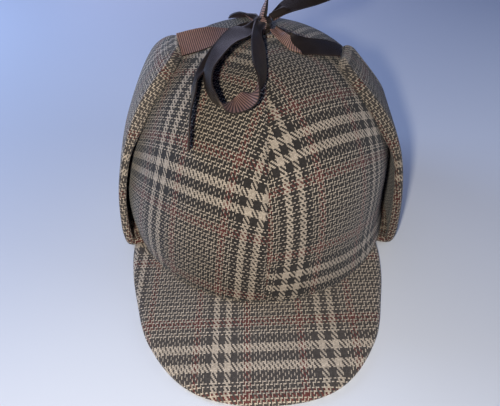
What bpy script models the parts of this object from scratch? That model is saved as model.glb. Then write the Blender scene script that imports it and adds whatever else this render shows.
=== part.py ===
"""A deerstalker hat of plaid cloth: four crown panels, a stiffened peak at the front and the back, and two ear
flaps turned up over the crown, whose ribbons are tied in a bow on top.

Metres, +Z up, the front of the hat towards -Y.  The origin lies on the surface that the hat rests on, under
the middle of the crown.
"""
import math

import bmesh
import bpy
import numpy as np

MM = 0.001

# Crown: an oval dome, a little squarer than an ellipsoid.
CROWN_HALF_WIDTH = 86.2 * MM
CROWN_HALF_LENGTH = 104.0 * MM
CROWN_HEIGHT = 117.8 * MM
CROWN_SQUARENESS = 2.75
CROWN_WALL = 2.4 * MM
SEAM_GAP = 0.7 * MM
RIM_HEIGHT = 4.4 * MM

# Peaks: the outline as its reach from the middle of the peak's straight root line.
PEAK_THICKNESS = 4.0 * MM
PEAK_ROOT = 50.0 * MM
PEAK_EDGE_RADIUS = 1.4 * MM
PEAK_OUTLINE = (  # direction in degrees from the root line, reach in mm
    (0.0, 78.4),
    (18.0, 80.3),
    (36.0, 87.4),
    (54.0, 102.6),
    (72.0, 117.2),
    (90.0, 120.0),
)
FRONT_PEAK_OFFSET = -3.0 * MM

# Ear flaps: rows from the edge sewn under the rim, round the fold, up to the tip.
FLAP_THICKNESS = 4.0 * MM
FLAP_EDGE_RADIUS = 1.3 * MM
FLAP_ROWS = {  # rise round the dome in degrees, drop below it, reach to the front and to the back of the crown's
    # middle, and stand-off from the crown at the flap's front edge, middle and back edge, in mm
    "ear_flap_left": (
        (0.0, 4.4, 46.5, 46.5, -2.2, -2.2, -2.2),
        (0.0, 4.4, 46.5, 46.5, 2.0, 2.0, 2.0),
        (0.0, 3.5, 46.5, 46.5, 6.4, 5.4, 6.4),
        (0.0, 0.8, 46.5, 46.5, 9.4, 6.8, 9.4),
        (3.0, 0.0, 45.5, 46.0, 11.0, 7.0, 10.0),
        (8.0, 0.0, 43.5, 45.0, 11.2, 6.6, 9.0),
        (15.0, 0.0, 41.0, 42.5, 10.8, 6.0, 8.0),
        (22.0, 0.0, 39.5, 39.5, 9.8, 5.2, 7.0),
        (30.0, 0.0, 38.0, 36.0, 9.0, 5.4, 6.5),
        (38.0, 0.0, 35.5, 31.0, 8.8, 5.8, 7.6),
        (46.0, 0.0, 32.0, 25.0, 8.8, 7.6, 9.4),
        (52.0, 0.0, 27.5, 18.0, 8.6, 9.0, 9.6),
        (57.0, 0.0, 20.0, 11.0, 8.0, 8.8, 9.0),
        (60.0, 0.0, 11.0, 5.0, 7.6, 8.0, 8.0),
    ),
    "ear_flap_right": (
        (0.0, 4.4, 46.5, 46.5, -2.2, -2.2, -2.2),
        (0.0, 4.4, 46.5, 46.5, 2.0, 2.0, 2.0),
        (0.0, 3.5, 46.5, 46.5, 6.4, 5.4, 6.4),
        (0.0, 0.8, 46.5, 46.5, 9.4, 6.8, 9.0),
        (3.0, 0.0, 46.0, 44.0, 11.0, 7.0, 9.0),
        (8.0, 0.0, 46.5, 40.0, 11.2, 6.8, 8.0),
        (15.0, 0.0, 46.5, 34.0, 11.2, 6.4, 7.0),
        (22.0, 0.0, 45.0, 24.0, 11.0, 5.8, 5.4),
        (30.0, 0.0, 43.5, 12.0, 10.8, 5.2, 5.0),
        (38.0, 0.0, 42.0, 1.0, 9.8, 5.4, 5.2),
        (46.0, 0.0, 40.0, -5.0, 8.2, 5.4, 5.0),
        (52.0, 0.0, 36.0, -5.0, 7.2, 5.6, 5.6),
        (57.0, 0.0, 30.0, -3.0, 7.0, 6.4, 7.2),
        (60.0, 0.0, 23.0, -7.0, 7.0, 6.8, 7.6),
    ),
}
FLAP_SIDES = {"ear_flap_left": -1, "ear_flap_right": 1}

# Ribbon: every run is a strip along a smooth line through its rows, gathered where it enters the knot.
RIBBON_THICKNESS = 1.0 * MM
KNOT_CENTRE = (0.0 * MM, 2.0 * MM, 128.2 * MM)
KNOT_HALF_SIZE = (6.0 * MM, 6.5 * MM, 5.5 * MM)
RIBBON_RUNS = {  # x, y, z in mm, bearing and rise of the width in degrees, width in mm
    "ribbon_strap_left": (
        (-47.8, -3.0, 120.2, -93.0, -3.0, 14.0),
        (-40.0, -2.0, 121.8, -94.0, -20.0, 16.0),
        (-31.0, -1.5, 123.2, -84.0, -16.0, 16.0),
        (-22.0, -0.5, 123.4, -81.0, -6.0, 15.0),
        (-13.0, 1.0, 123.5, -78.0, 0.0, 11.0),
        (-6.0, 2.0, 124.8, -76.0, 4.0, 7.0),
    ),
    "ribbon_strap_right": (
        (45.0, -16.0, 119.4, -103.0, -3.0, 14.0),
        (38.5, -15.0, 121.0, -90.0, -12.0, 15.5),
        (29.5, -17.5, 122.9, -93.0, -12.0, 16.0),
        (21.0, -15.0, 124.2, -110.0, -6.0, 15.0),
        (13.0, -7.5, 125.2, -120.0, 4.0, 11.0),
        (6.1, -1.2, 126.9, -120.0, 8.0, 6.0),
    ),
    "bow_loop_front": (
        (-4.6, -2.6, 131.2, -29.0, 0.0, 7.0),
        (-13.5, -17.5, 131.8, -33.0, 0.0, 15.0),
        (-22.5, -31.5, 129.8, -40.0, 20.0, 15.0),
        (-28.5, -45.0, 125.6, -36.0, 38.0, 14.0),
        (-30.5, -57.5, 121.2, -45.0, 65.0, 14.0),
        (-27.5, -67.0, 116.2, -108.0, 62.0, 15.0),
        (-18.5, -73.0, 112.4, -100.0, 15.0, 16.0),
        (-10.0, -70.0, 115.6, -75.0, 20.0, 16.0),
        (-5.0, -64.0, 120.8, -120.0, 55.0, 16.0),
        (-4.0, -53.0, 126.0, -152.0, 57.0, 16.0),
        (-3.5, -34.0, 130.5, -168.0, 58.0, 15.0),
        (-2.4, -15.0, 132.4, -172.0, 65.0, 11.0),
        (-0.7, -5.1, 131.4, -174.0, 75.0, 7.0),
    ),
    "bow_loop_back": (
        (0.9, 4.0, 134.6, -117.0, 10.0, 7.0),
        (3.0, 9.5, 141.5, -114.0, 20.0, 13.0),
        (8.0, 17.0, 149.5, -100.0, 30.0, 16.0),
        (21.0, 24.0, 153.5, -90.0, 40.0, 16.0),
        (36.0, 29.0, 152.5, -80.0, 35.0, 16.0),
        (45.5, 30.0, 147.0, -75.0, 10.0, 16.0),
        (43.0, 27.5, 141.5, -72.0, -10.0, 16.0),
        (33.0, 23.0, 139.0, -68.0, -15.0, 16.0),
        (20.0, 15.5, 137.0, -63.0, -10.0, 15.0),
        (11.0, 9.5, 134.3, -60.0, 0.0, 11.0),
        (4.9, 5.3, 131.8, -60.0, 5.0, 6.0),
    ),
    "bow_tail_front": (
        (-6.5, 0.4, 129.0, -70.0, 0.0, 6.0),
        (-15.5, -2.0, 127.2, -45.0, 8.0, 9.0),
        (-26.0, -17.0, 124.0, -35.0, 20.0, 9.0),
        (-34.0, -33.0, 118.8, -40.0, 28.0, 9.0),
        (-38.0, -46.5, 115.2, -62.0, 42.0, 10.0),
        (-39.0, -57.5, 111.2, -70.0, 48.0, 12.0),
        (-40.5, -66.0, 105.2, -74.0, 47.0, 14.0),
        (-41.0, -72.5, 98.0, -80.0, 43.0, 14.0),
        (-41.5, -78.5, 91.4, -82.0, 39.0, 13.0),
    ),
    "bow_tail_back": (
        (-2.4, 8.8, 128.8, -150.0, 25.0, 7.0),
        (-8.0, 15.0, 129.2, -155.0, 25.0, 13.0),
        (-14.0, 22.0, 127.4, -160.0, 15.0, 16.0),
        (-18.0, 33.0, 123.4, -170.0, 0.0, 16.0),
        (-20.0, 46.0, 118.6, 178.0, -8.0, 16.0),
        (-21.0, 60.0, 111.4, 176.0, -8.0, 16.0),
    ),
}

# How finely each kind of piece is divided.
PANEL_COLUMNS, PANEL_ROWS = 14, 15
PEAK_COLUMNS, PEAK_ROWS = 30, 4
PEAK_EDGE_SEGMENTS = 2
FLAP_COLUMNS, FLAP_STEPS = 12, 30
FLAP_EDGE_SEGMENTS = 1
RIBBON_COLUMNS, RIBBON_STEPS_PER_ROW = 2, 3
KNOT_SEGMENTS, KNOT_RINGS = 12, 9
MERGE_DISTANCE = 1e-6
CORNER_MERGE_DISTANCE = 1e-4

PANELS = {  # quarter of the dome: the bearing it starts at and the side of each seam that it lies on
    "crown_front_right": (-90.0, 1, -1),
    "crown_back_right": (0.0, 1, 1),
    "crown_back_left": (90.0, -1, 1),
    "crown_front_left": (180.0, -1, -1),
}

CLOTH_COLOUR = (0.16, 0.13, 0.10, 1.0)
PEAK_COLOUR = (0.19, 0.16, 0.12, 1.0)
FLAP_COLOUR = (0.13, 0.12, 0.11, 1.0)
RIBBON_COLOUR = (0.06, 0.035, 0.03, 1.0)


def material(name, colour, roughness):
    """A Principled finish."""
    finish = bpy.data.materials.new(name)
    finish.use_nodes = True
    shader = finish.node_tree.nodes["Principled BSDF"]
    shader.inputs["Base Color"].default_value = colour
    shader.inputs["Roughness"].default_value = roughness
    shader.inputs["Metallic"].default_value = 0.0
    return finish


def through(rows, share):
    """The row at a share from 0 to 1 of the way along a smooth line through all the rows (Catmull-Rom)."""
    rows = np.asarray(rows, dtype=float)
    place = min(max(share, 0.0), 1.0) * (len(rows) - 1)
    i = min(int(place), len(rows) - 2)
    t = place - i
    before, start, end, after = (rows[min(max(k, 0), len(rows) - 1)] for k in (i - 1, i, i + 1, i + 2))
    return (
        start
        + 0.5 * t * (end - before)
        + t * t * (before - 2.5 * start + 2.0 * end - 0.5 * after)
        + t**3 * (1.5 * (start - end) + 0.5 * (after - before))
    )


def dome_radii(rise):
    """How far out and how high the dome's profile is at a rise in degrees, each as a share of its full size."""
    out, up = math.cos(math.radians(rise)), math.sin(math.radians(rise))
    size = (abs(out) ** CROWN_SQUARENESS + abs(up) ** CROWN_SQUARENESS) ** (-1.0 / CROWN_SQUARENESS)
    return size * out, size * up


def dome_point(bearing, rise, inset=0.0):
    """A point of the crown's outer face: bearing in degrees from +X, rise in degrees from the rim to the top."""
    out, up = dome_radii(rise)
    return np.array((
        (CROWN_HALF_WIDTH - inset) * out * math.cos(math.radians(bearing)),
        (CROWN_HALF_LENGTH - inset) * out * math.sin(math.radians(bearing)),
        RIM_HEIGHT + CROWN_HEIGHT * up,
    ))


def dome_normal(point):
    """The outward direction at a point of the crown's outer face."""
    x, y = point[0] / CROWN_HALF_WIDTH, point[1] / CROWN_HALF_LENGTH
    out = max(math.hypot(x, y), 1e-6)
    up = max(point[2] - RIM_HEIGHT, 0.0) / CROWN_HEIGHT
    power = CROWN_SQUARENESS - 1.0
    slope = np.array((
        out ** (power - 1.0) * x / CROWN_HALF_WIDTH,
        out ** (power - 1.0) * y / CROWN_HALF_LENGTH,
        up**power / CROWN_HEIGHT,
    ))
    return slope / np.linalg.norm(slope)


def sheet(name, shape, columns, rows, collection, finish):
    """A grid whose vertices are carried to shape(u, v), with u and v from 0 to 1, as an open surface."""
    grid = bmesh.new()
    bmesh.ops.create_grid(grid, x_segments=columns, y_segments=rows, size=0.5)
    for vertex in grid.verts:
        vertex.co = shape(vertex.co.x + 0.5, vertex.co.y + 0.5)
    bmesh.ops.remove_doubles(grid, verts=grid.verts, dist=MERGE_DISTANCE)
    mesh = bpy.data.meshes.new(name)
    grid.to_mesh(mesh)
    grid.free()
    mesh.materials.append(finish)
    mesh.shade_smooth()
    piece = bpy.data.objects.new(name, mesh)
    collection.objects.link(piece)
    return piece


def thicken(piece, thickness, offset):
    """A wall on an open surface: offset -1 grows it inwards and 0 to both sides."""
    wall = piece.modifiers.new("Wall", "SOLIDIFY")
    wall.thickness = thickness
    wall.offset = offset


def round_edges(piece, radius, segments):
    """Rounded edges where a wall's faces meet its rim, with the vertices that fall together there made one."""
    edge = piece.modifiers.new("Rounded edge", "BEVEL")
    edge.width = radius
    edge.segments = segments
    edge.limit_method = "ANGLE"
    edge.angle_limit = math.radians(50.0)
    corners = piece.modifiers.new("Joined corners", "WELD")
    corners.merge_threshold = CORNER_MERGE_DISTANCE


def crown_panel(name, start, side_x, side_y, collection, finish):
    """A quarter of the dome, drawn in from its two seams by half the seam gap."""
    half_gap = SEAM_GAP / 2.0

    def shape(u, v):
        point = dome_point(start + 90.0 * u, 90.0 * v, inset=half_gap)
        return point + np.array((side_x * half_gap, side_y * half_gap, 0.0))

    piece = sheet(name, shape, PANEL_COLUMNS, PANEL_ROWS, collection, finish)
    thicken(piece, CROWN_WALL, -1.0)
    return piece


def peak(name, turn, offset, collection, finish):
    """A flat crescent from under the crown's rim out to the outline; turn is 1 for the front, -1 for the back."""
    inner_width = CROWN_HALF_WIDTH - CROWN_WALL
    inner_length = CROWN_HALF_LENGTH - CROWN_WALL
    root_bearing = math.degrees(math.asin(PEAK_ROOT / inner_length))

    def shape(u, v):
        direction = 180.0 * u
        quarter = min(direction, 180.0 - direction)
        reach = through(PEAK_OUTLINE, quarter / 90.0)[1] * MM
        outline = np.array((
            reach * math.cos(math.radians(direction)) + offset,
            -PEAK_ROOT - reach * math.sin(math.radians(direction)),
        ))
        bearing = math.radians(-root_bearing - (180.0 - 2.0 * root_bearing) * u)
        root = np.array((inner_width * math.cos(bearing), inner_length * math.sin(bearing)))
        x, y = root + (outline - root) * v
        return turn * x, turn * y, PEAK_THICKNESS

    piece = sheet(name, shape, PEAK_COLUMNS, PEAK_ROWS, collection, finish)
    thicken(piece, PEAK_THICKNESS, -1.0)
    round_edges(piece, PEAK_EDGE_RADIUS, PEAK_EDGE_SEGMENTS)
    return piece


def ear_flap(name, rows, side, collection, finish):
    """A tongue of doubled cloth that goes out from under the rim, folds and lies up against the crown."""

    def shape(u, v):
        rise, drop, front, back, front_off, middle_off, back_off = through(rows, v)
        across = side * (2.0 * u - 1.0)
        y = (back - front + across * (back + front)) / 2.0
        out = dome_radii(rise)[0]
        bearing = math.degrees(math.asin(y * MM / (CROWN_HALF_LENGTH * out)))
        point = dome_point(bearing, rise)
        point[0] *= side
        tilt = (back_off - front_off) / 2.0
        hollow = (back_off + front_off) / 2.0 - middle_off
        point = point + dome_normal(point) * (middle_off + tilt * across + hollow * across**2) * MM
        point[2] = max(point[2] - drop * MM, 0.0)
        return point

    piece = sheet(name, shape, FLAP_COLUMNS, FLAP_STEPS, collection, finish)
    thicken(piece, FLAP_THICKNESS, -1.0)
    round_edges(piece, FLAP_EDGE_RADIUS, FLAP_EDGE_SEGMENTS)
    return piece


def ribbon(name, rows, collection, finish):
    """A strip along the line through its rows, its width square to that line."""
    table = np.asarray(rows, dtype=float)
    bearing, rise = np.radians(table[:, 3]), np.radians(table[:, 4])
    widths = np.column_stack((np.cos(rise) * np.cos(bearing), np.cos(rise) * np.sin(bearing), np.sin(rise)))
    stations = np.column_stack((table[:, :3], widths, table[:, 5]))
    nudge = 0.01

    def shape(u, v):
        station = through(stations, u)
        ahead = (through(stations, min(u + nudge, 1.0)) - through(stations, max(u - nudge, 0.0)))[:3]
        ahead /= np.linalg.norm(ahead)
        across = station[3:6] - ahead * ahead.dot(station[3:6])
        across /= np.linalg.norm(across)
        return (station[:3] + across * (v - 0.5) * station[6]) * MM

    piece = sheet(name, shape, RIBBON_STEPS_PER_ROW * (len(rows) - 1), RIBBON_COLUMNS, collection, finish)
    thicken(piece, RIBBON_THICKNESS, 0.0)
    return piece


def knot(name, collection, finish):
    """The rounded lump of the bow's knot."""
    lump = bmesh.new()
    bmesh.ops.create_uvsphere(lump, u_segments=KNOT_SEGMENTS, v_segments=KNOT_RINGS, radius=1.0)
    bmesh.ops.scale(lump, vec=KNOT_HALF_SIZE, verts=lump.verts)
    bmesh.ops.translate(lump, vec=KNOT_CENTRE, verts=lump.verts)
    mesh = bpy.data.meshes.new(name)
    lump.to_mesh(mesh)
    lump.free()
    mesh.materials.append(finish)
    mesh.shade_smooth()
    piece = bpy.data.objects.new(name, mesh)
    collection.objects.link(piece)
    return piece


def main():
    for old in list(bpy.data.objects):
        bpy.data.objects.remove(old, do_unlink=True)
    hat = bpy.data.collections.new("deerstalker_hat")
    bpy.context.scene.collection.children.link(hat)

    crown_cloth = material("crown_cloth", CLOTH_COLOUR, 0.9)
    peak_cloth = material("peak_cloth", PEAK_COLOUR, 0.9)
    flap_cloth = material("flap_cloth", FLAP_COLOUR, 0.9)
    satin = material("ribbon_satin", RIBBON_COLOUR, 0.4)

    for name, (start, side_x, side_y) in PANELS.items():
        crown_panel(name, start, side_x, side_y, hat, crown_cloth)
    peak("front_peak", 1, FRONT_PEAK_OFFSET, hat, peak_cloth)
    peak("back_peak", -1, 0.0, hat, peak_cloth)
    for name, rows in FLAP_ROWS.items():
        ear_flap(name, rows, FLAP_SIDES[name], hat, flap_cloth)
    knot("bow_knot", hat, satin)
    for name, rows in RIBBON_RUNS.items():
        ribbon(name, rows, hat, satin)


main()
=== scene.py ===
"""Deerstalker hat: plaid cloth, turned-up ear flaps and a ribbon bow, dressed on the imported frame.

Metres, +Z up, the front of the hat towards -Y.
"""
import math

import bmesh
import bpy
import numpy as np
from bpy.props import FloatProperty, FloatVectorProperty, PointerProperty
from bpy.types import Operator, Panel, PropertyGroup
from mathutils import Matrix, Vector


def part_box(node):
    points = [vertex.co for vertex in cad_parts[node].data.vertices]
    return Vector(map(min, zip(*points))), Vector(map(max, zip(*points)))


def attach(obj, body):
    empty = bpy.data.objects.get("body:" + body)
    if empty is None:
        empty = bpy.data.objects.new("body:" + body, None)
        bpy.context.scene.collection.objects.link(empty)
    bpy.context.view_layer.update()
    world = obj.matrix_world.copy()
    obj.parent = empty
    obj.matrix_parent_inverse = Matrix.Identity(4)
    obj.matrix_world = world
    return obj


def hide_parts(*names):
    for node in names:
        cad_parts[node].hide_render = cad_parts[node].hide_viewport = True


bl_info = {
    "name": "Deerstalker Hat",
    "version": (1, 0, 0),
    "blender": (4, 5, 0),
    "location": "View3D > Sidebar > Hat",
    "description": "Builds the cloth, the ribbon bow and the stage of a plaid deerstalker hat",
    "category": "Add Mesh",
}

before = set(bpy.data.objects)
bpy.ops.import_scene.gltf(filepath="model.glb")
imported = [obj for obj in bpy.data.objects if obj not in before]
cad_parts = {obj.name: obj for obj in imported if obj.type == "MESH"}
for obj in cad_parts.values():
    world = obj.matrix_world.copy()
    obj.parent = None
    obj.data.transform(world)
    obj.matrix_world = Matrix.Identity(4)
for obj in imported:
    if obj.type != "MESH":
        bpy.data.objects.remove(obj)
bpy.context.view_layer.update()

MM = 0.001

# Sizes that the frame gives.
PANEL_LOW, PANEL_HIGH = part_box("crown_front_left")
PEAK_LOW, PEAK_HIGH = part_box("front_peak")
KNOT_LOW, KNOT_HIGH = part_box("bow_knot")
CROWN_HALF_WIDTH = -PANEL_LOW.x
CROWN_HALF_LENGTH = -PANEL_LOW.y
CROWN_BASE = PANEL_LOW.z
CROWN_HEIGHT = PANEL_HIGH.z - PANEL_LOW.z
PEAK_THICKNESS = PEAK_HIGH.z - PEAK_LOW.z

# The plaid repeats after this many yarns both ways.  Counted in yarns from the middle of its double stripe:
# the middle and half width of a light stripe and of the red overcheck, and where the field starts.
YARNS_PER_REPEAT = 98
LIGHT_STRIPE = (6.0, 3.0)
OVERCHECK = (24.0, 3.0)
FIELD_START = 15.0
FIELD_PERIOD = 5.0
CROWDING = 1.0 / 6.0  # how much of a light yarn's width the dark one beside it covers, for its fuzz and for painted shade between the yarns

# How many lines each grid has one way and, as a second number, how much closer they lie at its ends.
PANEL_ROUND = (81, 0.86)
PANEL_UP = (71, 0.8)
PEAK_ROUND = (161, 0.3)
PEAK_OUT = (61, 1.8)  # the last lines lie closer, by this power
FLAP_ACROSS = (81, 0.88)
FLAP_ALONG = (141, 0.35)
RIBBON_ACROSS = 33
RIBBON_STEPS = 22  # from one row of a run to the next
KNOT_ROUND = 96
KNOT_UP = 49
CURVE_STEPS = 24  # along each curve over the dome whose length is taken
MERGE_DISTANCE = 1e-6
SHARP_ANGLE = math.radians(50.0)

CROWN_SQUARENESS = 2.75  # the power of its superellipsoid
CROWN_TUCK = 1.6 * MM  # height over which its foot is drawn in
CROWN_TUCK_DEPTH = 0.6  # by this share of that height
# One radian of its slow waves, and the height over which they grow.
WAVE_X, WAVE_Y, WAVE_Z, WAVE_SLANT = 15.0 * MM, 12.5 * MM, 19.0 * MM, 27.0 * MM
WAVE_FADE = 30.0 * MM

# How each crown panel is cut: the quarter it starts at, the bearing of its middle line and the turn of the
# cloth's grain from that line, in degrees, and how far the first double stripe lies across and the first
# double band lies up the panel, in mm.
PANELS = {
    "crown_front_left": (180.0, -117.8, -2.7, -25.9, 69.4),
    "crown_front_right": (-90.0, -51.6, -6.1, -55.7, 93.4),
    "crown_back_right": (0.0, 62.2, -2.7, -25.9, 100.0),
    "crown_back_left": (90.0, 128.4, -6.1, -55.7, 93.4),
}

# Where the crown stands fuller or slacker than its plain dome: bearing in degrees, height in mm, spread of
# the bearing in degrees, and fullness in mm.
CROWN_FULLNESS = (
    (-150.0, 30.0, 32.0, 3.0),
    (-32.0, 26.0, 30.0, -2.2),
    (-30.0, 66.0, 30.0, 1.2),
)
FULLNESS_SPREAD = 24.0 * MM  # up and down
FULLNESS_FADE = 12.0 * MM  # height over which it grows from the rim

PEAK_ROOT = 50.0 * MM  # how far forward of the crown's middle a peak's ends lie
PEAK_EDGE = 1.3 * MM  # height of the edge's middle
PEAK_UNDER_ROLL = 1.6 * MM  # width over which the underside rolls up to the edge
# Its reach in mm from the middle of its root line, every 18 degrees from that line to the front.
PEAK_OUTLINE = (78.4, 80.3, 87.4, 102.6, 117.2, 120.0)
PEAK_GRAIN = math.radians(-1.45)  # how far its cloth is turned
PEAK_STRIPE = (-25.3 * MM, -142.4 * MM)  # where its double stripe and double band lie, to the right and back
PEAK_SKEW = 0.06  # how far its crosswise yarns climb for each step to the right
PEAK_SPREAD = 0.8  # how much wider its cloth lies for each metre to the right
PEAKS = {"front_peak": (1.0, -3.0 * MM), "back_peak": (-1.0, 0.0)}  # which way it faces, sideways offset

FLAP_THICKNESS = 4.0 * MM
FLAP_CLEARANCE = 0.3 * MM  # left between a flap's swelling and the crown
FLAP_BAND = 66.0 * MM  # how far up a flap the double band lies
STITCH_DEPTH = 0.35 * MM
STITCH_INSET = 6.0 * MM  # from the edge
STITCH_WIDTH = 0.9 * MM
SWELL_REACH = 9.0 * MM  # from the edge
SWELL_RISE = (26.0, 12.0)  # where a flap starts to swell more, and over how much of the rise, in degrees
SWELL_LOW = 0.2  # the share of the swelling lower down
# A flap from its hidden root to its tip: rise round the dome in degrees, drop below it, reach to the front
# and to the back of the crown's middle, and stand-off from the crown at the flap's front edge, middle and
# back edge, in mm.
FLAP_ROOT = (
    (0.0, 4.4, 46.5, 46.5, -2.2, -2.2, -2.2),
    (0.0, 4.4, 46.5, 46.5, 2.0, 2.0, 2.0),
    (0.0, 3.5, 46.5, 46.5, 6.4, 5.4, 6.4),
)
FLAP_ROWS = {
    "ear_flap_left": FLAP_ROOT + (
        (0.0, 0.8, 46.5, 46.5, 9.4, 6.8, 9.4),
        (3.0, 0.0, 45.5, 46.0, 11.0, 7.0, 10.0),
        (8.0, 0.0, 43.5, 45.0, 11.2, 6.6, 9.0),
        (15.0, 0.0, 41.0, 42.5, 10.8, 6.0, 8.0),
        (22.0, 0.0, 39.5, 39.5, 9.8, 5.2, 7.0),
        (30.0, 0.0, 38.0, 36.0, 9.0, 5.4, 6.5),
        (38.0, 0.0, 35.5, 31.0, 8.8, 5.8, 7.6),
        (46.0, 0.0, 32.0, 25.0, 8.8, 7.6, 9.4),
        (52.0, 0.0, 27.5, 18.0, 8.6, 9.0, 9.6),
        (57.0, 0.0, 20.0, 11.0, 8.0, 8.8, 9.0),
        (60.0, 0.0, 11.0, 5.0, 7.6, 8.0, 8.0),
    ),
    "ear_flap_right": FLAP_ROOT + (
        (0.0, 0.8, 46.5, 46.5, 9.4, 6.8, 9.0),
        (3.0, 0.0, 46.0, 44.0, 11.0, 7.0, 9.0),
        (8.0, 0.0, 46.5, 40.0, 11.2, 6.8, 8.0),
        (15.0, 0.0, 46.5, 34.0, 11.2, 6.4, 7.0),
        (22.0, 0.0, 45.0, 24.0, 11.0, 5.8, 5.4),
        (30.0, 0.0, 43.5, 12.0, 10.8, 5.2, 5.0),
        (38.0, 0.0, 42.0, 1.0, 9.8, 5.4, 5.2),
        (46.0, 0.0, 40.0, -5.0, 8.2, 5.4, 5.0),
        (52.0, 0.0, 36.0, -5.0, 7.2, 5.6, 5.6),
        (57.0, 0.0, 30.0, -3.0, 7.0, 6.4, 7.2),
        (60.0, 0.0, 23.0, -7.0, 7.0, 6.8, 7.6),
    ),
}
FLAP_SIDES = {"ear_flap_left": -1.0, "ear_flap_right": 1.0}

# The middle line of each run of the ribbon: x, y and z in mm, bearing and rise of its width in degrees, and
# its width there in mm.
RIBBON_RUNS = {
    "ribbon_strap_left": (
        (-49.0, -6.0, 119.2, -92.0, -34.0, 16.0),
        (-40.0, -4.5, 121.2, -93.0, -32.0, 16.0),
        (-31.0, -2.5, 122.8, -86.0, -22.0, 16.0),
        (-22.0, -0.5, 123.4, -81.0, -6.0, 15.0),
        (-13.0, 1.0, 123.5, -78.0, 0.0, 11.0),
        (-6.0, 2.0, 124.8, -76.0, 4.0, 7.0),
    ),
    "ribbon_strap_right": (
        (45.0, -16.0, 119.4, -103.0, -3.0, 14.0),
        (38.5, -15.0, 121.0, -90.0, -12.0, 15.5),
        (29.5, -17.5, 122.9, -93.0, -12.0, 16.0),
        (22.0, -17.5, 123.4, -100.0, -18.0, 16.0),
        (13.0, -15.5, 123.4, -115.0, -48.0, 15.0),
        (5.2, -4.5, 126.4, -118.0, -45.0, 9.0),
    ),
    "bow_loop_front": (
        (-4.6, -2.6, 131.2, -29.0, 0.0, 7.0),
        (-13.5, -17.5, 131.8, -33.0, 0.0, 15.0),
        (-22.5, -31.5, 129.8, -40.0, 20.0, 15.0),
        (-28.5, -45.0, 125.6, -36.0, 38.0, 14.0),
        (-30.5, -57.5, 121.2, -45.0, 65.0, 14.0),
        (-27.5, -67.0, 116.2, -108.0, 62.0, 15.0),
        (-18.2, -71.5, 113.2, -100.0, 0.0, 15.0),
        (-10.3, -69.0, 116.2, -58.0, 2.0, 14.5),
        (-5.8, -64.0, 120.8, -88.0, 48.0, 16.0),
        (-4.0, -53.0, 126.0, -152.0, 57.0, 16.0),
        (-3.5, -34.0, 130.5, -168.0, 58.0, 15.0),
        (-2.4, -15.0, 132.4, -172.0, 65.0, 11.0),
        (-0.7, -5.1, 131.4, -174.0, 75.0, 7.0),
    ),
    "bow_loop_back": (
        (-0.6, 2.4, 129.6, -72.0, 40.0, 6.0),
        (0.9, 4.5, 135.0, -76.0, 42.0, 8.5),
        (3.0, 9.5, 141.5, -80.0, 42.0, 13.0),
        (8.0, 17.0, 149.5, -80.0, 30.0, 16.0),
        (21.0, 24.0, 153.5, -88.0, 40.0, 16.0),
        (36.0, 29.0, 152.5, -80.0, 35.0, 16.0),
        (45.5, 30.0, 147.0, -75.0, 10.0, 16.0),
        (43.0, 27.5, 141.5, -72.0, -10.0, 16.0),
        (33.0, 23.0, 139.0, -68.0, -15.0, 16.0),
        (20.0, 15.5, 137.0, -63.0, -10.0, 15.0),
        (11.0, 9.5, 134.3, -60.0, 0.0, 11.0),
        (4.9, 5.3, 131.8, -60.0, 5.0, 6.0),
    ),
    "bow_tail_front": (
        (-6.5, 0.4, 129.0, -70.0, 0.0, 6.0),
        (-15.5, -2.0, 127.2, -45.0, 8.0, 9.0),
        (-26.0, -17.0, 124.0, -35.0, 20.0, 9.0),
        (-34.0, -33.0, 118.8, -46.0, 28.0, 9.0),
        (-38.0, -46.5, 115.2, -72.0, 32.0, 12.0),
        (-39.0, -57.5, 111.2, -79.0, 34.0, 14.0),
        (-40.5, -66.0, 105.2, -84.0, 33.5, 15.0),
        (-41.0, -72.5, 98.4, -86.0, 33.0, 14.5),
        (-41.5, -78.5, 91.6, -87.0, 33.0, 13.0),
    ),
    "bow_tail_back": (
        (-2.4, 8.8, 128.8, -150.0, 25.0, 7.0),
        (-6.0, 16.0, 129.2, -155.0, 25.0, 12.0),
        (-8.5, 24.0, 127.4, -165.0, 12.0, 14.0),
        (-10.0, 34.0, 123.8, -172.0, 2.0, 16.0),
        (-11.0, 46.0, 119.2, 178.0, -4.0, 16.0),
        (-12.0, 60.0, 112.0, 176.0, -4.0, 16.0),
    ),
}
# Where a run's near edge is turned back over it: places along the run, and where across it the crease lies
# there, from 0 at the middle to 1 at the edge.
RIBBON_CREASES = {"ribbon_strap_right": ((0.0, 0.58, 0.8, 1.0), (1.0, 1.0, 0.15, 0.0))}
CREASE_ROUND = 0.04  # how soft a crease is, across the strip's half width
CREASE_LIFT = 1.2 * MM  # how high the turned part lies over the rest
PLEATED_WIDTH = 0.8  # the share of the ribbon's width that a strip keeps, in pleats, where its run is narrow
PLEATS = 1.5  # waves from edge to edge
RIBBON_CUP = 0.03  # depth of a strip's hollow, as a share of its width
RIBBON_GLANCE = 0.01  # how far along a run, each way, its heading is taken
SELVEDGE = (0.5, 0.05)  # how much thicker a strip's edge is, and over how much of its half width
# What each run rests on, and its flat length in metres.
RIBBONS = {
    "ribbon_strap_left": (("ear_flap_left", "bow_knot"), 0.0425),
    "ribbon_strap_right": (("ear_flap_right", "bow_knot"), 0.046),
    "bow_loop_front": (("bow_knot",), 0.1665),
    "bow_loop_back": (("bow_knot",), 0.1164),
    "bow_tail_front": (("bow_knot",), 0.1025),
    "bow_tail_back": (("bow_knot",), 0.060),
}
SATIN_THREAD = 0.35 * MM  # pitch of the satin face's threads
RIB_PITCH = 1.2 * MM
RIB_THREAD = 0.7 * MM  # pitch of the threads along the ribbed face

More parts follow.
